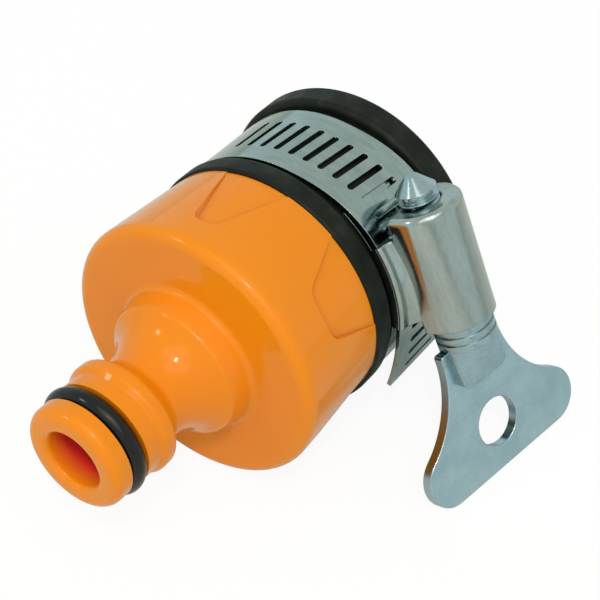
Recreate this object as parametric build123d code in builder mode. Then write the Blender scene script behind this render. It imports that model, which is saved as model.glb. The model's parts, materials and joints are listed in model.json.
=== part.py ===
from build123d import *
from math import atan2, cos, degrees, hypot, radians, sin
import os

# Adapter that clamps on a round tap and ends in a quick hose connector. It lies on its side:
# +X runs from the tap socket to the spigot, +Z is up, and the origin is the centre of the
# socket's mouth. It rests on its drum, its rear flange and one corner of the thumb key.

# Running clearances, and how far a cut reaches past what it cuts
seat_gap = 0.08
slip_gap = 0.05
turn_gap = 0.1
cut_over = 1.0

# Rubber sleeve: rear flange, clamp seat, front lip and the plug inside the drum
seat_radius = 18.0
seat_length = 15.1
flange_length = 4.5
flange_rise = 1.6
flange_edge = 0.9
lip_length = 3.65
lip_rise = 1.1
lip_rear_edge = 0.95
lip_front_edge = 0.5
plug_length = 13.0
plug_step = 1.8
bead_position = 9.0
bead_height = 0.6
bead_half_width = 1.1
sleeve_wall = 7.0
tap_stop_x = 30.0
tap_stop_rise = 4.0

flange_radius = seat_radius + flange_rise
lip_radius = seat_radius + lip_rise
plug_radius = seat_radius - plug_step
tap_bore_radius = seat_radius - sleeve_wall
water_way_radius = tap_bore_radius - tap_stop_rise
seat_end_x = flange_length + seat_length
drum_rear_x = seat_end_x + lip_length

# Drum of the moulded body: its front is as wide as the sleeve's flange, so it lies level
drum_length = 16.4
drum_wall = 2.5
drum_edge = 1.6
cavity_radius = plug_radius + slip_gap
drum_rear_radius = cavity_radius + drum_wall
drum_front_radius = flange_radius
drum_front_x = drum_rear_x + drum_length
cavity_end_x = drum_rear_x + plug_length + slip_gap

# Shallow grip pockets round the rear of the drum, wide and narrow ones in turn
pocket_pairs = 3
pocket_angle = 38.7
pocket_depth = 0.15
pocket_draft = 35
wide_length = 7.8
wide_rear_half_width = 6.7
wide_front_half_width = 3.0
wide_corner = 1.2
narrow_length = 10.4
narrow_rear_half_width = 4.9
narrow_front_half_width = 1.1
narrow_corner = 0.7
pocket_floor_radius = drum_rear_radius - pocket_depth

# Boss, waist and ridge between the drum and the nose
boss_base_radius = 10.7
boss_shoulder_radius = 9.9
boss_length = 3.6
boss_fillet = 1.0
shoulder_fillet = 0.8
flare_length = 6.2
waist_radius = 6.3
waist_length = 0.8
ridge_rise_length = 2.2
ridge_radius = 8.3
ridge_length = 1.5
ridge_edge = 0.7
ridge_fall_length = 0.8
land_radius = 7.65
land_length = 2.2

# Nose with its ring groove, and the bore for the water
groove_width = 3.0
ring_section_radius = 1.3
ring_outer_radius = 8.1
nose_radius = 7.55
nose_length = 2.85
nose_edge = 1.45
bore_radius = 4.2
bore_edge = 0.9

boss_end_x = drum_front_x + boss_length
waist_start_x = boss_end_x + flare_length
waist_end_x = waist_start_x + waist_length
ridge_start_x = waist_end_x + ridge_rise_length
ridge_end_x = ridge_start_x + ridge_length
land_start_x = ridge_end_x + ridge_fall_length
groove_start_x = land_start_x + land_length
groove_end_x = groove_start_x + groove_width
nose_tip_x = groove_end_x + nose_length
ring_major_radius = ring_outer_radius - ring_section_radius
groove_floor_radius = ring_major_radius - ring_section_radius

# Clamp band: one strip that starts under the saddle, goes once round and ends in a tail
band_thickness = 0.6
band_side_play = 1.7
band_shift = 0.35
tongue_angle = 31.5
ramp_start_angle = 62.0
ramp_end_angle = 14.0
tail_start_angle = -20.0
tail_length = 13.0
tail_bend_radius = 41.0
slot_length = 7.0
slot_width = 0.95
slot_pitch = 2.55
slot_slant = -5.7
slot_shift = 0.2
first_slot_angle = 95.2
slots_round_band = 16
slots_on_tail = 5

# Saddle and pressed housing round the worm
saddle_thickness = 0.5
saddle_wall = 0.4
saddle_front_angle = 13.0
saddle_rear_angle = -24.0
foot_thickness = 0.6
foot_edge = 0.45
foot_flat = 0.65
housing_taper = 1.8
housing_wall = 0.65
housing_inner_radius = 4.4
housing_top = 7.4
housing_bottom = 10.2
end_wall = 0.8
end_wall_hole_radius = 2.95
lip_bend_radius = 0.9
front_cutback = 1.7
rear_cutback = 2.3

# Worm screw, measured along its own axis from the middle of the clamp towards the tip
thread_radius = 2.75
core_radius = 2.1
tip_radius = 2.85
tip_flat_radius = 0.95
tip_base_y = 9.2
tip_undercut = 0.3
tip_end_y = 11.2
neck_end_y = 8.0
thread_end_y = -7.4
collar_radius = 4.3
collar_edge = 0.5
collar_end_y = -13.8
collar_groove_depth = 0.25
collar_groove_width = 0.5
collar_groove_y = -11.4
second_groove_y = -12.6
cheek_end_y = -20.1
cheek_thickness = 1.25
cheek_corner = 1.6

# Thumb key: a flat plate with a hole, held in the slot of the screw's end
key_thickness = 1.6
key_turn = 11.8
key_top_y = -14.0
key_neck_y = -14.6
key_neck_half_width = 5.5
key_shoulder = 0.5
key_corner_y = -30.7
key_corner_half_span = 10.4
key_corner_radius = 4.25
key_hole_y = -28.1
key_hole_radius = 3.6
key_edge = 0.15

# Radii of the band's two layers, of the saddle between them and of the screw's axis
inner_layer_radius = seat_radius + seat_gap
inner_layer_top = inner_layer_radius + band_thickness
saddle_top = inner_layer_top + saddle_thickness
outer_layer_radius = saddle_top + seat_gap
outer_layer_top = outer_layer_radius + band_thickness
foot_radius = outer_layer_top + seat_gap
screw_height = outer_layer_top + turn_gap + thread_radius
clamp_x = flange_length + seat_length / 2
band_width = seat_length - band_side_play
channel_half_width = band_width / 2 + band_shift + slip_gap
saddle_half_width = channel_half_width + saddle_wall
foot_top = foot_radius + foot_thickness
housing_outer_radius = housing_inner_radius + housing_wall
foot_bend = saddle_half_width - foot_flat - housing_outer_radius
bend_top = foot_top + foot_bend


# Height over the floor of the key's lowest corner, for a turn of the clamp about the main axis
def key_clearance(roll):
    across = key_corner_half_span * sin(radians(key_turn))
    far_face = key_thickness * cos(radians(key_turn))
    corner_height = (screw_height - across - far_face) * sin(roll) + key_corner_y * cos(roll)
    corner_reach = hypot(sin(radians(key_turn)) * sin(roll), cos(roll)) * key_corner_radius
    return flange_radius + corner_height - corner_reach


# The clamp is turned until that corner touches the floor: the interval is halved to find it
steepest_roll = 80
halvings = 50
lowest_roll, highest_roll = 0.0, radians(steepest_roll)
for step in range(halvings):
    middle_roll = (lowest_roll + highest_roll) / 2
    if key_clearance(middle_roll) < 0:
        lowest_roll = middle_roll
    else:
        highest_roll = middle_roll
clamp_roll = degrees(lowest_roll)

out_dir = Vector(0, cos(radians(clamp_roll)), sin(radians(clamp_roll)))
tip_dir = Vector(0, -sin(radians(clamp_roll)), cos(radians(clamp_roll)))
main_dir = Vector(1, 0, 0)
screw_centre = Vector(clamp_x, 0, 0) + out_dir * screw_height

# Sketches of the strip lie square to the main axis: x outwards, y along the screw to its tip
strip_plane = Plane(origin=(clamp_x, 0, 0), x_dir=out_dir, z_dir=main_dir)
# Sketches of the arch lie square to the screw: x along the main axis, y outwards
arch_plane = Plane(origin=screw_centre, x_dir=main_dir, z_dir=tip_dir)
# Half sections of the screw: x outwards, y towards the tip
turned_plane = Plane(origin=screw_centre, x_dir=out_dir, z_dir=main_dir)
# The key's front face: x towards the tap, y towards the screw's tip, z outwards
key_turn_rad = radians(key_turn)
key_plane = Plane(
    origin=screw_centre,
    x_dir=out_dir * sin(key_turn_rad) - main_dir * cos(key_turn_rad),
    z_dir=out_dir * cos(key_turn_rad) + main_dir * sin(key_turn_rad),
)


def polar(radius, angle):
    return (radius * cos(radians(angle)), radius * sin(radians(angle)))


def clockwise(angle):
    return (sin(radians(angle)), -cos(radians(angle)))


# Rounds the corner of a section that lies nearest to a point
def round_corner(section, point, radius):
    fillet(section.vertices().sort_by_distance(point)[0], radius=radius)


# A grip pocket at the drum's +Y side: a sloping rim round a floor that follows the drum
def grip_pocket(length, rear_half_width, front_half_width, corner):
    base = (pocket_floor_radius**2 - rear_half_width**2) ** 0.5
    with BuildPart() as pocket:
        with BuildSketch(
            Plane(origin=(drum_rear_x, base, 0), x_dir=main_dir, z_dir=(0, 1, 0))
        ) as outline:
            with BuildLine():
                Polyline(
                    (-cut_over, -rear_half_width),
                    (0, -rear_half_width),
                    (length, -front_half_width),
                    (length, front_half_width),
                    (0, rear_half_width),
                    (-cut_over, rear_half_width),
                    close=True,
                )
            make_face()
            fillet(outline.vertices().group_by(Axis.X)[-1], radius=corner)
        extrude(amount=drum_front_radius + cut_over - base, taper=-pocket_draft)
        with BuildSketch(Plane.YZ.offset(drum_rear_x - drum_length)):
            Circle(pocket_floor_radius)
        extrude(amount=2 * drum_length, mode=Mode.SUBTRACT)
    return pocket.part


# Moulded body
wide_pocket = grip_pocket(wide_length, wide_rear_half_width, wide_front_half_width, wide_corner)
narrow_pocket = grip_pocket(
    narrow_length, narrow_rear_half_width, narrow_front_half_width, narrow_corner
)
with BuildPart() as adapter_body:
    with BuildSketch(Plane.XZ) as profile:
        with BuildLine():
            Polyline(
                (boss_end_x, boss_shoulder_radius),
                (drum_front_x, boss_base_radius),
                (drum_front_x, drum_front_radius),
                (drum_rear_x, drum_rear_radius),
                (drum_rear_x, cavity_radius),
                (cavity_end_x, cavity_radius),
                (cavity_end_x, bore_radius),
                (nose_tip_x, bore_radius),
                (nose_tip_x, nose_radius),
                (groove_end_x, nose_radius),
                (groove_end_x, groove_floor_radius),
                (groove_start_x, groove_floor_radius),
                (groove_start_x, land_radius),
                (land_start_x, land_radius),
                (ridge_end_x, ridge_radius),
                (ridge_start_x, ridge_radius),
                (waist_end_x, waist_radius),
                (waist_start_x, waist_radius),
            )
            TangentArc(
                (waist_start_x, waist_radius),
                (boss_end_x, boss_shoulder_radius),
                tangent=(-1, 0),
            )
        make_face()
        round_corner(profile, (drum_front_x, drum_front_radius), drum_edge)
        round_corner(profile, (drum_front_x, boss_base_radius), boss_fillet)
        round_corner(profile, (boss_end_x, boss_shoulder_radius), shoulder_fillet)
        round_corner(profile, (waist_end_x, waist_radius), ridge_rise_length / 2)
        round_corner(profile, (ridge_start_x, ridge_radius), ridge_edge)
        round_corner(profile, (ridge_end_x, ridge_radius), ridge_edge)
        round_corner(profile, (nose_tip_x, nose_radius), nose_edge)
        round_corner(profile, (nose_tip_x, bore_radius), bore_edge)
    revolve(axis=Axis.X)
    with BuildSketch(Plane.XZ):
        with BuildLine():
            Polyline(
                (drum_rear_x + bead_position - bead_half_width, plug_radius),
                (drum_rear_x + bead_position, plug_radius + bead_height + slip_gap),
                (drum_rear_x + bead_position + bead_half_width, plug_radius),
                close=True,
            )
        make_face()
    revolve(axis=Axis.X, mode=Mode.SUBTRACT)
    for step in range(pocket_pairs):
        turn = pocket_angle + step * 360 / pocket_pairs
        add(wide_pocket.rotate(Axis.X, turn), mode=Mode.SUBTRACT)
        add(narrow_pocket.rotate(Axis.X, turn + 180 / pocket_pairs), mode=Mode.SUBTRACT)

# Sealing ring in the nose's groove
with BuildPart() as spigot_ring:
    with BuildSketch(Plane.XZ):
        with Locations(((groove_start_x + groove_end_x) / 2, ring_major_radius)):
            Circle(ring_section_radius)
    revolve(axis=Axis.X)

# Rubber sleeve
with BuildPart() as rubber_sleeve:
    with BuildSketch(Plane.XZ) as profile:
        with BuildLine():
            Polyline(
                (0, tap_bore_radius),
                (0, flange_radius),
                (flange_length, flange_radius),
                (flange_length, seat_radius),
                (seat_end_x, seat_radius),
                (seat_end_x, lip_radius),
                (drum_rear_x, lip_radius),
                (drum_rear_x, plug_radius),
                (drum_rear_x + bead_position - bead_half_width, plug_radius),
                (drum_rear_x + bead_position, plug_radius + bead_height),
                (drum_rear_x + bead_position + bead_half_width, plug_radius),
                (drum_rear_x + plug_length, plug_radius),
                (drum_rear_x + plug_length, water_way_radius),
                (tap_stop_x, water_way_radius),
                (tap_stop_x, tap_bore_radius),
                close=True,
            )
        make_face()
        round_corner(profile, (0, flange_radius), flange_edge)
        round_corner(profile, (flange_length, flange_radius), flange_edge)
        round_corner(profile, (seat_end_x, lip_radius), lip_rear_edge)
        round_corner(profile, (drum_rear_x, lip_radius), lip_front_edge)
    revolve(axis=Axis.X)

# Clamp band
loop_sweep = 360 - ramp_start_angle + tongue_angle
tail_sweep = degrees(tail_length / tail_bend_radius)
tail_centre = Vector(*polar(outer_layer_top - tail_bend_radius, tail_start_angle))


def tail_point(radius, angle):
    return (tail_centre.X + radius * cos(radians(angle)), tail_centre.Y + radius * sin(radians(angle)))


def strip_side(loop_radius, lift_radius, bend_radius):
    CenterArc((0, 0), loop_radius, tongue_angle, -loop_sweep)
    Spline(
        polar(loop_radius, ramp_start_angle),
        polar(lift_radius, ramp_end_angle),
        tangents=[clockwise(ramp_start_angle), clockwise(ramp_end_angle)],
    )
    CenterArc((0, 0), lift_radius, ramp_end_angle, tail_start_angle - ramp_end_angle)
    CenterArc(tuple(tail_centre), bend_radius, tail_start_angle, -tail_sweep)


# The strip lies a little nearer the drum than its housing, and its slots a little more so
tail_end_angle = tail_start_angle - tail_sweep
slot_step = degrees(slot_pitch / outer_layer_top)
last_loop_slot_angle = first_slot_angle - (slots_round_band - 1) * slot_step
loop_slot_to_tail = radians(last_loop_slot_angle - tail_start_angle) * outer_layer_top
slot_plane = strip_plane.offset(band_shift + slot_shift)
with BuildPart() as clamp_band:
    with BuildSketch(strip_plane.offset(band_shift)):
        with BuildLine():
            strip_side(inner_layer_top, outer_layer_top, tail_bend_radius)
            Line(
                tail_point(tail_bend_radius, tail_end_angle),
                tail_point(tail_bend_radius - band_thickness, tail_end_angle),
            )
            strip_side(inner_layer_radius, outer_layer_radius, tail_bend_radius - band_thickness)
            Line(polar(inner_layer_radius, tongue_angle), polar(inner_layer_top, tongue_angle))
        make_face()
    extrude(amount=band_width / 2, both=True)
    for index in range(slots_round_band):
        angle = first_slot_angle - index * slot_step
        above_tongue = angle < tongue_angle + slot_step / 2
        cut_start = inner_layer_top + slip_gap if above_tongue else inner_layer_radius - cut_over
        across = Plane(
            origin=slot_plane.from_local_coords(polar(cut_start, angle)),
            x_dir=main_dir,
            z_dir=out_dir.rotate(Axis.X, angle),
        )
        with BuildSketch(across.rotated((0, 0, slot_slant))):
            SlotOverall(slot_length, slot_width)
        extrude(amount=outer_layer_top + cut_over - cut_start, mode=Mode.SUBTRACT)
    for index in range(slots_on_tail):
        along_tail = (index + 1) * slot_pitch - loop_slot_to_tail
        angle = tail_start_angle - degrees(along_tail / tail_bend_radius)
        across = Plane(
            origin=slot_plane.from_local_coords(tail_point(tail_bend_radius, angle)),
            x_dir=main_dir,
            z_dir=out_dir.rotate(Axis.X, angle),
        )
        with BuildSketch(across.rotated((0, 0, slot_slant))):
            SlotOverall(slot_length, slot_width)
        extrude(amount=band_thickness * 2, both=True, mode=Mode.SUBTRACT)


# A curved plate round the main axis, between two radii, over the saddle's angles
def saddle_sector(low_radius, high_radius):
    sweep = saddle_front_angle - saddle_rear_angle
    with BuildSketch() as sector:
        with BuildLine():
            CenterArc((0, 0), low_radius, saddle_rear_angle, sweep)
            CenterArc((0, 0), high_radius, saddle_rear_angle, sweep)
            Line(polar(low_radius, saddle_rear_angle), polar(high_radius, saddle_rear_angle))
            Line(polar(low_radius, saddle_front_angle), polar(high_radius, saddle_front_angle))
        make_face()
    return sector.sketch


# Saddle: a channel that the strip slides through
with BuildPart() as housing_saddle:
    with BuildSketch(strip_plane):
        add(saddle_sector(inner_layer_top, foot_radius))
    extrude(amount=saddle_half_width, both=True)
    with BuildSketch(strip_plane):
        add(saddle_sector(saddle_top, foot_radius))
    extrude(amount=channel_half_width, both=True, mode=Mode.SUBTRACT)

# Feet of the worm housing: strips over the saddle that bend up into the arch's sides
feet_start_dir = out_dir.rotate(Axis.X, saddle_rear_angle)
feet_plane = Plane(origin=(clamp_x, 0, 0), x_dir=main_dir, z_dir=main_dir.cross(feet_start_dir))
with BuildPart() as housing_feet:
    with BuildSketch(feet_plane) as section:
        with BuildLine():
            Line((0, foot_radius), (saddle_half_width, foot_radius))
            Line((saddle_half_width, foot_radius), (saddle_half_width, foot_top))
            Line((saddle_half_width, foot_top), (housing_outer_radius + foot_bend, foot_top))
            CenterArc((housing_outer_radius + foot_bend, bend_top), foot_bend, -90, -90)
            Line((housing_outer_radius, bend_top), (0, bend_top))
            mirror(about=Plane.YZ)
        make_face()
        round_corner(section, (saddle_half_width, foot_top), foot_edge)
        round_corner(section, (-saddle_half_width, foot_top), foot_edge)
    revolve(axis=Axis.X, revolution_arc=saddle_front_angle - saddle_rear_angle)


# Section of the arch: a round top with straight sides that reach down to the strip
def arch_section(radius):
    with BuildSketch() as section:
        Circle(radius)
        Rectangle(2 * radius, screw_height / 2, align=(Align.CENTER, Align.MAX))
    return section.sketch


# Worm housing: an arch with feet, open towards the strip
with BuildPart() as worm_housing:
    with BuildSketch(arch_plane.offset(-housing_bottom)):
        add(arch_section(housing_outer_radius))
    extrude(amount=housing_top + housing_bottom, taper=-housing_taper)
    fillet(
        worm_housing.faces().sort_by(Axis(tuple(screw_centre), tuple(tip_dir)))[-1].edges(),
        radius=lip_bend_radius,
    )
    add(housing_feet.part)
    with BuildSketch(arch_plane.offset(-housing_bottom)):
        add(arch_section(housing_inner_radius))
    extrude(
        amount=housing_bottom + housing_top - end_wall,
        taper=-housing_taper,
        mode=Mode.SUBTRACT,
    )
    with BuildSketch(arch_plane):
        add(arch_section(end_wall_hole_radius))
    extrude(amount=housing_top, mode=Mode.SUBTRACT)
    with BuildSketch(strip_plane):
        Circle(foot_radius)
    extrude(amount=band_width, both=True, mode=Mode.SUBTRACT)
    with BuildSketch(strip_plane):
        foot_front_y = polar(foot_radius, saddle_front_angle)[1]
        with Locations((screw_height - front_cutback, foot_front_y)):
            Rectangle(screw_height, housing_top, align=(Align.MAX, Align.MIN))
        foot_rear_y = polar(foot_top, saddle_rear_angle)[1]
        with Locations((screw_height - rear_cutback, foot_rear_y)):
            Rectangle(screw_height, housing_bottom, align=(Align.MAX, Align.MAX))
    extrude(amount=band_width, both=True, mode=Mode.SUBTRACT)

# Two cheeks of the screw's slotted end, one on each face of the key
cheek_depth = key_thickness + 2 * cheek_thickness
with BuildPart() as screw_cheeks:
    with BuildSketch(key_plane.offset(cheek_thickness)) as outline:
        with Locations((0, collar_end_y)):
            Rectangle(2 * collar_radius, collar_end_y - cheek_end_y, align=(Align.CENTER, Align.MAX))
        fillet(outline.vertices().group_by(Axis.Y)[0], radius=cheek_corner)
    extrude(amount=-cheek_depth)
    with BuildSketch(arch_plane):
        Circle(collar_radius)
    extrude(amount=cheek_end_y, mode=Mode.INTERSECT)
    with BuildSketch(key_plane):
        with Locations((0, collar_end_y)):
            Rectangle(3 * collar_radius, -cheek_end_y, align=(Align.CENTER, Align.MAX))
    extrude(amount=-key_thickness, mode=Mode.SUBTRACT)

# Worm screw: cone tip, neck, thread blank and grooved collar
with BuildPart() as worm_screw:
    with BuildSketch(turned_plane) as profile:
        with BuildLine():
            Polyline(
                (0, tip_end_y),
                (tip_flat_radius, tip_end_y),
                (tip_radius, tip_base_y),
                (core_radius, tip_base_y - tip_undercut),
                (core_radius, neck_end_y),
                (thread_radius, neck_end_y),
                (thread_radius, thread_end_y),
                (collar_radius, thread_end_y),
                (collar_radius, collar_end_y),
                (0, collar_end_y),
                close=True,
            )
        make_face()
        round_corner(profile, (collar_radius, thread_end_y), collar_edge)
        with Locations((collar_radius, collar_groove_y), (collar_radius, second_groove_y)):
            Rectangle(2 * collar_groove_depth, collar_groove_width, mode=Mode.SUBTRACT)
    revolve(axis=Axis(tuple(screw_centre), tuple(tip_dir)))
    add(screw_cheeks.part)

# Thumb key: rounded corners, hollow sides and a round hole
side_radius = (
    (key_neck_y - key_corner_y) ** 2
    + (key_corner_half_span - key_neck_half_width) ** 2
    - key_corner_radius**2
) / (2 * (key_corner_radius + key_corner_half_span - key_neck_half_width))
side_centre = Vector(key_neck_half_width + side_radius, key_neck_y)
corner_centre = Vector(key_corner_half_span, key_corner_y)
side_end = corner_centre + (side_centre - corner_centre).normalized() * key_corner_radius
side_end_angle = degrees(atan2(side_end.Y - corner_centre.Y, side_end.X - corner_centre.X))
with BuildPart() as thumb_key:
    with BuildSketch(key_plane) as outline:
        with BuildLine():
            Line((0, key_top_y), (key_neck_half_width, key_top_y))
            Line((key_neck_half_width, key_top_y), (key_neck_half_width, key_neck_y))
            TangentArc((key_neck_half_width, key_neck_y), (side_end.X, side_end.Y), tangent=(0, -1))
            CenterArc(
                (corner_centre.X, corner_centre.Y),
                key_corner_radius,
                side_end_angle,
                -90 - side_end_angle,
            )
            Line(
                (key_corner_half_span, key_corner_y - key_corner_radius),
                (0, key_corner_y - key_corner_radius),
            )
            mirror(about=Plane.YZ)
        make_face()
        fillet(outline.vertices().group_by(Axis.Y)[-1], radius=key_shoulder)
        with Locations((0, key_hole_y)):
            Circle(key_hole_radius, mode=Mode.SUBTRACT)
    extrude(amount=-key_thickness)
    rims = thumb_key.faces().filter_by(key_plane).edges()
    fillet(rims, radius=key_edge)

os.makedirs("parts", exist_ok=True)
pieces = {
    "adapter_body": adapter_body,
    "spigot_ring": spigot_ring,
    "rubber_sleeve": rubber_sleeve,
    "clamp_band": clamp_band,
    "housing_saddle": housing_saddle,
    "worm_housing": worm_housing,
    "worm_screw": worm_screw,
    "thumb_key": thumb_key,
}
for name, piece in pieces.items():
    piece.part.label = name
    export_step(piece.part, f"parts/{name}.step")
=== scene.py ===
"""A clamp-on tap adapter lying on its side: orange moulding, rubber sleeve, band clamp and thumb key."""

import json
from math import atan2, tau

import bpy
from mathutils import Matrix, Vector

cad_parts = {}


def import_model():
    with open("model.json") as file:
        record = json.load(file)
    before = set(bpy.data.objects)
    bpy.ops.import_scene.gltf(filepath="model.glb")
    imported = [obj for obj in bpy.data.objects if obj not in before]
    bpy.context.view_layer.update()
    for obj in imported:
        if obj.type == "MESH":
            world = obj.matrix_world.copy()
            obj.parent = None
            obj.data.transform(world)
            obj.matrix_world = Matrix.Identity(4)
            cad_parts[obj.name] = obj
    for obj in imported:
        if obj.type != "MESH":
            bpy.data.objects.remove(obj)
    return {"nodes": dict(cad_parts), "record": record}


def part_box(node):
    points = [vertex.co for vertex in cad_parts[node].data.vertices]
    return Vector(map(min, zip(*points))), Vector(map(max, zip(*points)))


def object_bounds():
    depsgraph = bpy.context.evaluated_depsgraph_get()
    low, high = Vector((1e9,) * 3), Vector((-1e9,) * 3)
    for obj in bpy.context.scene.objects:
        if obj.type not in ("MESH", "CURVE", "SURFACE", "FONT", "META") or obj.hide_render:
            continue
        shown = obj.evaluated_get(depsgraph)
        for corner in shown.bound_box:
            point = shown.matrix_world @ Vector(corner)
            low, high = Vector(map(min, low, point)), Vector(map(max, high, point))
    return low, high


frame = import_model()
nodes = frame["nodes"]
cad_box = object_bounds()

MM = 0.001

# Radii by which the edges of the plated pieces look rounded
PLATE_EDGE = 0.16 * MM
HOUSING_EDGE = 0.35 * MM

# Grip pockets of the drum: the middle and half length of their stretch along X, the cosine under which a
# face counts as a pocket's wall for painted shade, and how far the painted shade of a wall reaches onto
# the floor beside it
POCKETS_MIDDLE = 30.6 * MM
POCKETS_HALF = 6.6 * MM
WALL_COSINE = 0.96
SHADE_REACH = 1.3 * MM

# Bore of the spigot: a radius outside it and one just outside its wall, and the depths behind the nose's
# tip between which a painted red glow and shade comes into its colour
BORE_OUTSIDE = 4.7 * MM
BORE_INSIDE = 4.25 * MM
GLOW_STARTS = 0.9 * MM
GLOW_FULL = 3.4 * MM

# Thread of the worm, from its first turn to the screw's neck
THREAD_PITCH = 2.55 * MM
THREAD_DEPTH = 0.65 * MM
THREAD_FIRST = -7.2 * MM
THREAD_LAST = 7.8 * MM

# The screw's own frame: z runs along it from its middle to its tip
screw_turn = next(
    joint for joint in frame["record"]["behaviour"]["joints"] if joint["name"] == "screw_turn"
)
SCREW_MIDDLE = tuple(screw_turn["pos_m"])
SCREW_LEAN = (atan2(screw_turn["axis"][1], -screw_turn["axis"][2]), 0, 0)

# How long the streaks of the plating are along each axis
EVEN = (1, 1, 1)
ROUND_BAND = (0.3, 1, 1)
ALONG_SCREW = (0.5, 0.5, 3)

# Lamps, seen from a point in the drum: directions, distance in metres and colour
LIT_POINT = Vector((0.035, 0.0, 0.0))
OVERHEAD = (0.43, 0.25, 0.87)
FROM_THE_NOSE = (0.57, -0.62, 0.54)
LAMP_DISTANCE = 0.6
WARM = (1.0, 0.93, 0.84)

FLOOR_HALF = 3.0
FLOOR_GAP = 0.02 * MM


# Small helpers for materials

def new_material(name):
    material = bpy.data.materials.new(name)
    material.use_nodes = True
    tree = material.node_tree
    shader = tree.nodes["Principled BSDF"]
    return material, tree, shader


def add_node(tree, kind, **values):
    """A node whose sockets and settings of those names get those values."""
    node = tree.nodes.new(kind)
    for key, value in values.items():
        if key in node.inputs:
            node.inputs[key].default_value = value
        else:
            setattr(node, key, value)
    return node


def object_axes(tree, source=None):
    """The x, y and z of object coordinates, or of another node's vector."""
    split = add_node(tree, "ShaderNodeSeparateXYZ")
    if source is None:
        source = add_node(tree, "ShaderNodeTexCoord").outputs["Object"]
    tree.links.new(source, split.inputs[0])
    return split.outputs


def grain(tree, scale, detail=3.0, length=EVEN, turn=(0, 0, 0)):
    """Noise in object coordinates; its grain is that much longer along each axis of the turned frame."""
    place = add_node(tree, "ShaderNodeTexCoord")
    mapping = add_node(
        tree, "ShaderNodeMapping", vector_type="TEXTURE", Scale=length, Rotation=turn
    )
    noise = add_node(tree, "ShaderNodeTexNoise", Scale=scale, Detail=detail)
    tree.links.new(place.outputs["Object"], mapping.inputs["Vector"])
    tree.links.new(mapping.outputs["Vector"], noise.inputs["Vector"])
    return noise.outputs["Fac"]


def calculate(tree, operation, first, second=None, third=None):
    """One Math node; each value is a number or another node's output."""
    node = add_node(tree, "ShaderNodeMath", operation=operation)
    for socket, value in zip(node.inputs, (first, second, third)):
        if isinstance(value, (int, float)):
            socket.default_value = value
        elif value is not None:
            tree.links.new(value, socket)
    return node.outputs[0]


def ramp(tree, source, stops):
    """A colour ramp over source; stops are (position, colour)."""
    node = add_node(tree, "ShaderNodeValToRGB")
    steps = node.color_ramp.elements
    while len(steps) < len(stops):
        steps.new(0.5)
    for step, (position, colour) in zip(steps, stops):
        step.position = position
        step.color = (*colour, 1)
    tree.links.new(source, node.inputs["Fac"])
    return node.outputs["Color"]


def between(tree, source, start, end):
    """0 where source is at start, 1 where it is at end, held outside them."""
    node = add_node(tree, "ShaderNodeMapRange")
    node.inputs["From Min"].default_value = start
    node.inputs["From Max"].default_value = end
    tree.links.new(source, node.inputs["Value"])
    return node.outputs["Result"]


def spread(tree, source, low, high):
    """Source from 0.3 to 0.7 taken to low to high."""
    node = add_node(tree, "ShaderNodeMapRange")
    node.inputs["From Min"].default_value = 0.3
    node.inputs["From Max"].default_value = 0.7
    node.inputs["To Min"].default_value = low
    node.inputs["To Max"].default_value = high
    tree.links.new(source, node.inputs["Value"])
    return node.outputs["Result"]


def overlay(tree, below, colour, share):
    """That colour laid over the one below, as far as share says."""
    node = add_node(tree, "ShaderNodeMix", data_type="RGBA")
    tree.links.new(share, node.inputs["Factor"])
    tree.links.new(below, node.inputs[6])
    node.inputs[7].default_value = (*colour, 1)
    return node.outputs[2]


def painted_pocket_shade(tree):
    """Up to 1 where painted shade darkens the pockets' borders: on their tilted walls, and on the floor
    beside a wall, from ambient occlusion.
    """
    place = add_node(tree, "ShaderNodeTexCoord")
    across = add_node(tree, "ShaderNodeMapping", vector_type="POINT", Scale=(0, 1, 1))
    outwards = add_node(tree, "ShaderNodeVectorMath", operation="NORMALIZE")
    facing = add_node(tree, "ShaderNodeVectorMath", operation="DOT_PRODUCT")
    tree.links.new(place.outputs["Object"], across.inputs["Vector"])
    tree.links.new(across.outputs["Vector"], outwards.inputs[0])
    tree.links.new(outwards.outputs[0], facing.inputs[0])
    tree.links.new(place.outputs["Normal"], facing.inputs[1])
    wall = calculate(tree, "LESS_THAN", facing.outputs["Value"], WALL_COSINE)
    hollow = add_node(
        tree, "ShaderNodeAmbientOcclusion", samples=12, only_local=True, Distance=SHADE_REACH
    )
    shade = calculate(tree, "SUBTRACT", 1.0, hollow.outputs["AO"])
    shade = calculate(tree, "MULTIPLY", shade, 2.2)
    border = calculate(tree, "MAXIMUM", calculate(tree, "MULTIPLY", wall, 0.35), shade)
    along = object_axes(tree)["X"]
    beside_pockets = calculate(tree, "COMPARE", along, POCKETS_MIDDLE, POCKETS_HALF)
    return calculate(tree, "MINIMUM", calculate(tree, "MULTIPLY", border, beside_pockets), 1.0)


def painted_bore_glow(tree):
    """Where the painted red glow and shade go: 0 outside the spigot's bore and at its mouth, 1 from a few
    millimetres inside it.
    """
    axes = object_axes(tree)
    reach = calculate(tree, "SQRT", calculate(
        tree, "ADD",
        calculate(tree, "MULTIPLY", axes["Y"], axes["Y"]),
        calculate(tree, "MULTIPLY", axes["Z"], axes["Z"]),
    ))
    nose_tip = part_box("adapter_body")[1][0]
    inside = between(tree, reach, BORE_OUTSIDE, BORE_INSIDE)
    deep = between(tree, axes["X"], nose_tip - GLOW_STARTS, nose_tip - GLOW_FULL)
    return calculate(tree, "MULTIPLY", inside, deep)


def relief(tree, shader, source, height, strength=1.0, edge=0.0):
    """A bump of that height in metres, over edges that look rounded by that radius."""
    bump = add_node(tree, "ShaderNodeBump", Strength=strength, Distance=height)
    if edge:
        rounded = add_node(tree, "ShaderNodeBevel", samples=6, Radius=edge)
        tree.links.new(rounded.outputs["Normal"], bump.inputs["Normal"])
    tree.links.new(source, bump.inputs["Height"])
    tree.links.new(bump.outputs["Normal"], shader.inputs["Normal"])


# Finishes of the object's pieces

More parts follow.
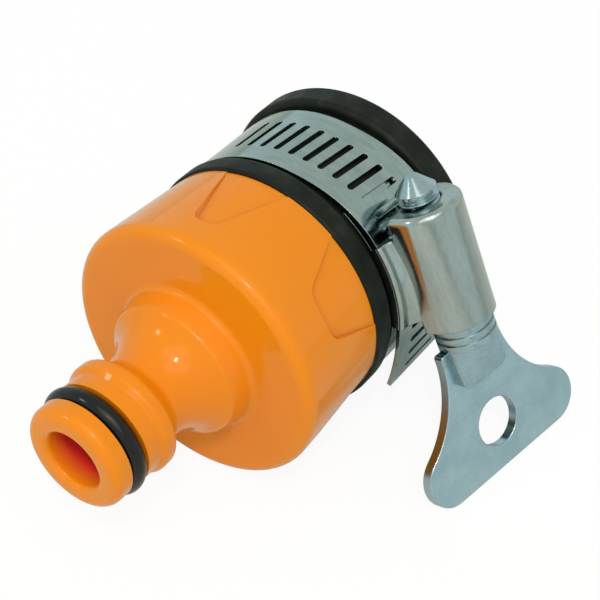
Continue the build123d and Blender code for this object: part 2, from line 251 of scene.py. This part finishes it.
def orange_plastic():
    """Glossy moulding, a little see-through, with a hard skin that gives sharp sparks; painted light in
    its colour: a red glow and shade deep in the bore, and shade along the grip pockets' borders.
    """
    material, tree, shader = new_material("orange_plastic")
    tint = ramp(tree, grain(tree, 45, 2.0), [
        (0.35, (0.85, 0.243, 0.004)),
        (0.65, (0.88, 0.257, 0.005)),
    ])
    # Painted light: deep in the bore the colour turns red, a painted glow and shade rather than the
    # moulding's own colour
    tint = overlay(tree, tint, (0.78, 0.042, 0.03), painted_bore_glow(tree))
    # Painted shade: the grip pockets' walls and the floor beside them are darkened in the colour
    tint = overlay(tree, tint, (0.62, 0.14, 0.004), painted_pocket_shade(tree))
    tree.links.new(tint, shader.inputs["Base Color"])
    tree.links.new(spread(tree, grain(tree, 160, 2.0), 0.30, 0.38), shader.inputs["Roughness"])
    shader.inputs["IOR"].default_value = 1.1
    shader.inputs["Subsurface Weight"].default_value = 0.15
    shader.inputs["Subsurface Radius"].default_value = (1.0, 0.25, 0.05)
    shader.inputs["Subsurface Scale"].default_value = 1.5 * MM
    shader.inputs["Coat Weight"].default_value = 1.0
    shader.inputs["Coat Roughness"].default_value = 0.08
    shader.inputs["Coat IOR"].default_value = 1.33
    return material


def ring_rubber():
    """Wet-looking black rubber."""
    material, tree, shader = new_material("ring_rubber")
    tint = ramp(tree, grain(tree, 300), [
        (0.3, (0.002, 0.003, 0.003)),
        (0.7, (0.005, 0.007, 0.006)),
    ])
    tree.links.new(tint, shader.inputs["Base Color"])
    tree.links.new(spread(tree, grain(tree, 900), 0.09, 0.20), shader.inputs["Roughness"])
    shader.inputs["IOR"].default_value = 1.4
    relief(tree, shader, grain(tree, 700, 3.0), 0.04 * MM, 0.5)
    return material


def sleeve_rubber():
    """Satin black rubber with a thin grey bloom."""
    material, tree, shader = new_material("sleeve_rubber")
    tint = ramp(tree, grain(tree, 260, 4.0), [
        (0.3, (0.003, 0.004, 0.003)),
        (0.58, (0.009, 0.012, 0.008)),
        (0.72, (0.019, 0.023, 0.019)),
    ])
    tree.links.new(tint, shader.inputs["Base Color"])
    tree.links.new(spread(tree, grain(tree, 420, 3.0), 0.40, 0.60), shader.inputs["Roughness"])
    shader.inputs["IOR"].default_value = 1.26
    relief(tree, shader, grain(tree, 900, 4.0), 0.03 * MM, 0.6)
    return material


def zinc(name, low, high, shine, length=EVEN, turn=(0, 0, 0)):
    """Zinc plating: a pale blue-grey metal with fine streaks, a little uneven in tint and shine."""
    material, tree, shader = new_material(name)
    shader.inputs["Metallic"].default_value = 1.0
    cloud = grain(tree, 260, 2.0, length, turn)
    speck = grain(tree, 2400, 4.0, length, turn)
    mottle = calculate(tree, "MULTIPLY_ADD", speck, 0.4, calculate(tree, "MULTIPLY", cloud, 0.6))
    tint = ramp(tree, mottle, [(0.35, low), (0.65, high)])
    tree.links.new(tint, shader.inputs["Base Color"])
    tree.links.new(spread(tree, speck, shine - 0.02, shine + 0.03), shader.inputs["Roughness"])
    return material, tree, shader, speck


def plated_sheet(name, low, high, shine, length=EVEN, turn=(0, 0, 0), edge=PLATE_EDGE):
    """Plating on cut and pressed sheet, whose streaks can just be felt."""
    material, tree, shader, speck = zinc(name, low, high, shine, length, turn)
    relief(tree, shader, speck, 0.0015 * MM, 0.6, edge)
    return material


def plated_screw():
    """The screw's plating, with the worm's thread: rounded ridges that climb one pitch a turn."""
    material, tree, shader, _ = zinc("screw_zinc", (0.30, 0.41, 0.44), (0.41, 0.53, 0.56), 0.14)
    place = add_node(tree, "ShaderNodeTexCoord")
    own = add_node(
        tree, "ShaderNodeMapping", vector_type="TEXTURE",
        Location=SCREW_MIDDLE, Rotation=SCREW_LEAN,
    )
    tree.links.new(place.outputs["Object"], own.inputs["Vector"])
    axes = object_axes(tree, own.outputs["Vector"])
    round_it = calculate(tree, "ARCTAN2", axes["Y"], axes["X"])
    climb = calculate(tree, "MULTIPLY", axes["Z"], tau / THREAD_PITCH)
    wave = calculate(tree, "SINE", calculate(tree, "SUBTRACT", climb, round_it))
    middle = (THREAD_FIRST + THREAD_LAST) / 2
    half = (THREAD_LAST - THREAD_FIRST) / 2
    threaded = calculate(tree, "COMPARE", axes["Z"], middle, half)
    ridges = calculate(tree, "MULTIPLY", wave, threaded)
    relief(tree, shader, ridges, THREAD_DEPTH / 2, 1.0, PLATE_EDGE)
    return material


finishes = {
    "adapter_body": orange_plastic(),
    "spigot_ring": ring_rubber(),
    "rubber_sleeve": sleeve_rubber(),
    "clamp_band": plated_sheet(
        "band_zinc", (0.29, 0.37, 0.36), (0.38, 0.47, 0.45), 0.13, ROUND_BAND
    ),
    "housing_saddle": plated_sheet(
        "saddle_zinc", (0.36, 0.43, 0.43), (0.45, 0.52, 0.52), 0.10, ROUND_BAND
    ),
    "worm_housing": plated_sheet(
        "housing_zinc", (0.32, 0.37, 0.35), (0.44, 0.50, 0.48), 0.14,
        ALONG_SCREW, SCREW_LEAN, HOUSING_EDGE,
    ),
    "worm_screw": plated_screw(),
    "thumb_key": plated_sheet("key_zinc", (0.34, 0.48, 0.53), (0.43, 0.57, 0.63), 0.23),
}
for name, finish in finishes.items():
    mesh = nodes[name].data
    mesh.materials.clear()
    mesh.materials.append(finish)


# Floor, light and camera

def seen_share(tree, by_camera, by_gloss):
    """How much of the plain white background a ray gets: camera and clear rays, then gloss."""
    ray = add_node(tree, "ShaderNodeLightPath").outputs
    direct = calculate(tree, "MAXIMUM", ray["Is Camera Ray"], ray["Is Transmission Ray"])
    direct = calculate(tree, "MULTIPLY", direct, by_camera)
    glossy = calculate(tree, "MULTIPLY", ray["Is Glossy Ray"], by_gloss)
    return calculate(tree, "MAXIMUM", direct, glossy)


def blend_shaders(tree, share, below, above):
    """The shader below, giving way to the one above as far as share says."""
    mix = add_node(tree, "ShaderNodeMixShader")
    tree.links.new(share, mix.inputs[0])
    tree.links.new(below.outputs[0], mix.inputs[1])
    tree.links.new(above.outputs[0], mix.inputs[2])
    return mix.outputs[0]


def floor():
    """A wide pale plane under the object: near white to the camera, with a soft shadow."""
    lowest = cad_box[0][2] - FLOOR_GAP
    corners = [
        (-FLOOR_HALF, -FLOOR_HALF, lowest), (FLOOR_HALF, -FLOOR_HALF, lowest),
        (FLOOR_HALF, FLOOR_HALF, lowest), (-FLOOR_HALF, FLOOR_HALF, lowest),
    ]
    mesh = bpy.data.meshes.new("floor")
    mesh.from_pydata(corners, [], [(0, 1, 2, 3)])
    plane = bpy.data.objects.new("floor", mesh)
    bpy.context.scene.collection.objects.link(plane)
    material, tree, shader = new_material("floor_white")
    tree.nodes.remove(shader)
    matt = add_node(tree, "ShaderNodeBsdfDiffuse", Color=(0.72, 0.72, 0.72, 1))
    glow = add_node(tree, "ShaderNodeEmission", Color=(1, 1, 1, 1), Strength=1.04)
    surface = blend_shaders(tree, seen_share(tree, 0.88, 0.1), matt, glow)
    tree.links.new(surface, tree.nodes["Material Output"].inputs["Surface"])
    mesh.materials.append(material)


def soft_box(name, direction, size, power):
    """A warm square lamp of that size in metres, in that direction from the drum and facing it."""
    data = bpy.data.lights.new(name, "AREA")
    data.shape = "SQUARE"
    data.size = size
    data.energy = power
    data.color = WARM
    lamp = bpy.data.objects.new(name, data)
    bpy.context.scene.collection.objects.link(lamp)
    away = Vector(direction).normalized()
    lamp.location = LIT_POINT + away * LAMP_DISTANCE
    lamp.rotation_euler = away.to_track_quat("Z", "Y").to_euler()


def world():
    """A pale room: grey-green overhead, bluest on the -Y side, white to the camera and partly to gloss."""
    space = bpy.data.worlds.new("room")
    bpy.context.scene.world = space
    space.use_nodes = True
    tree = space.node_tree
    room = tree.nodes["Background"]
    place = add_node(tree, "ShaderNodeTexCoord")
    axes = object_axes(tree, place.outputs["Generated"])
    sides = ramp(tree, between(tree, axes["Y"], -0.9, 0.5), [
        (0.0, (0.50, 0.74, 0.78)),
        (1.0, (0.58, 0.74, 0.76)),
    ])
    walls_and_top = overlay(tree, sides, (0.50, 0.55, 0.48), between(tree, axes["Z"], 0.0, 0.8))
    tree.links.new(walls_and_top, room.inputs["Color"])
    room.inputs["Strength"].default_value = 1.0
    white = add_node(tree, "ShaderNodeBackground", Color=(1, 1, 1, 1), Strength=1.0)
    surface = blend_shaders(tree, seen_share(tree, 1.0, 0.42), room, white)
    tree.links.new(surface, tree.nodes["World Output"].inputs["Surface"])


def camera():
    """The camera at the photo's angle: its place in mm and the directions of its frame."""
    data = bpy.data.cameras.new("camera")
    data.lens = 90
    data.sensor_width = 36
    data.shift_x = 0.0627
    data.shift_y = -0.0165
    data.clip_start = 0.01
    eye = bpy.data.objects.new("camera", data)
    bpy.context.scene.collection.objects.link(eye)
    right = Vector((-0.595, 0.7995, 0.084)).normalized()
    back = Vector((0.599, 0.371, 0.7095)).normalized()
    up = back.cross(right).normalized()
    right = up.cross(back)
    place = Vector((147.6, 77.0, 147.2)) * MM
    eye.matrix_world = Matrix((
        (right.x, up.x, back.x, place.x),
        (right.y, up.y, back.y, place.y),
        (right.z, up.z, back.z, place.z),
        (0, 0, 0, 1),
    ))
    bpy.context.scene.camera = eye


floor()
world()
camera()
soft_box("key_lamp", OVERHEAD, 0.55, 1.05)
soft_box("spark", OVERHEAD, 0.06, 1.1)
soft_box("second_spark", FROM_THE_NOSE, 0.08, 0.2)

bpy.context.scene.view_settings.view_transform = "Standard"
